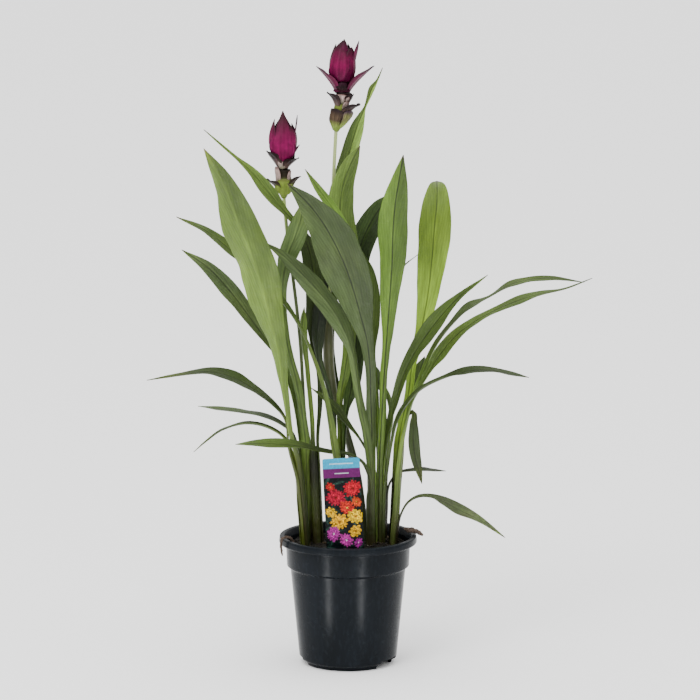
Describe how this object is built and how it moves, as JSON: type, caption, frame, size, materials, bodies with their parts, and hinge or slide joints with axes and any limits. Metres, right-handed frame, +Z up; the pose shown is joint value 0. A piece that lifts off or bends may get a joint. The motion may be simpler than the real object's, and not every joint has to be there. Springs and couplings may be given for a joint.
{
  "type": "potted siam tulip",
  "caption": "Flowering plant in a round nursery pot: upright magenta flower spikes among long pointed leaves, with a plain picture label in the soil.",
  "frame": {"origin": "middle of the pot's underside, on its flat middle foot", "axes": "+Z up along the pot's axis, +X to the right and -Y to the front as the picture shows the plant"},
  "size_m": [0.4444, 0.18, 0.6363],
  "materials": {
    "pot_plastic": "smooth satin black plastic",
    "soil": "crumbly dark peat with bits of bark and pale grains",
    "label_plastic": "thin printed plastic, satin",
    "shoot_green": "ribbed green leaf sheaths, satin",
    "shoot_dark": "dark purple-brown sheath, satin",
    "scape_green": "pale green stalk, satin",
    "leaf_light": "light green leaf with parallel veins, satin",
    "leaf_grey": "grey-green underside of a leaf with parallel veins, matt",
    "leaf_mid": "mid green leaf with parallel veins, satin",
    "leaf_dark": "dark green leaf with parallel veins, satin",
    "bract_green": "green bracts with purple-brown edges, satin",
    "coma_magenta": "magenta petal-like bracts with dark tips, satin",
    "bark": "rough bark",
    "root": "dry root"
  },
  "bodies": {
    "root": {"pot": "pot_plastic", "soil": "soil", "plant_label": "label_plastic", "shoot_a": "shoot_green", "shoot_c": "shoot_green", "shoot_d": "shoot_green", "shoot_e": "shoot_green", "shoot_f": "shoot_green", "shoot_h": "shoot_green", "shoot_i": "shoot_green", "shoot_j": "shoot_green", "shoot_g": "shoot_dark", "scape_left": "scape_green", "scape_right": "scape_green", "leaf_left_broad": "leaf_light", "leaf_left_low_arch": "leaf_dark", "leaf_left_lowest": "leaf_dark", "leaf_left_dark": "leaf_dark", "leaf_centre_left": "leaf_mid", "leaf_left_short_arch": "leaf_dark", "leaf_upper_left_narrow": "leaf_dark", "leaf_small_inner": "leaf_mid", "leaf_left_bright": "leaf_light", "leaf_behind_scape": "leaf_mid", "leaf_right_dark_upper": "leaf_dark", "leaf_inner_dark": "leaf_dark", "leaf_tallest": "leaf_mid", "leaf_light_tip": "leaf_light", "leaf_centre_broad": "leaf_grey", "leaf_centre_diagonal": "leaf_grey", "leaf_left_front_low": "leaf_dark", "leaf_right_tall": "leaf_light", "leaf_right_inner_dark": "leaf_dark", "leaf_right_rising": "leaf_dark", "leaf_right_low_arch": "leaf_dark", "leaf_arch_left_dark": "leaf_dark", "leaf_right_rounded": "leaf_light", "leaf_right_long_lower": "leaf_mid", "leaf_right_lowest": "leaf_dark", "leaf_short_back": "leaf_dark", "leaf_thin_tip": "leaf_dark", "leaf_flat_low_right": "leaf_dark", "leaf_right_long_upper": "leaf_dark", "leaf_back_short": "leaf_dark", "leaf_right_droop": "leaf_dark", "bracts_left": "bract_green", "coma_left": "coma_magenta", "bracts_right": "bract_green", "coma_right": "coma_magenta", "bark_bit": "bark", "root_bit": "root"}
  },
  "joints": []
}
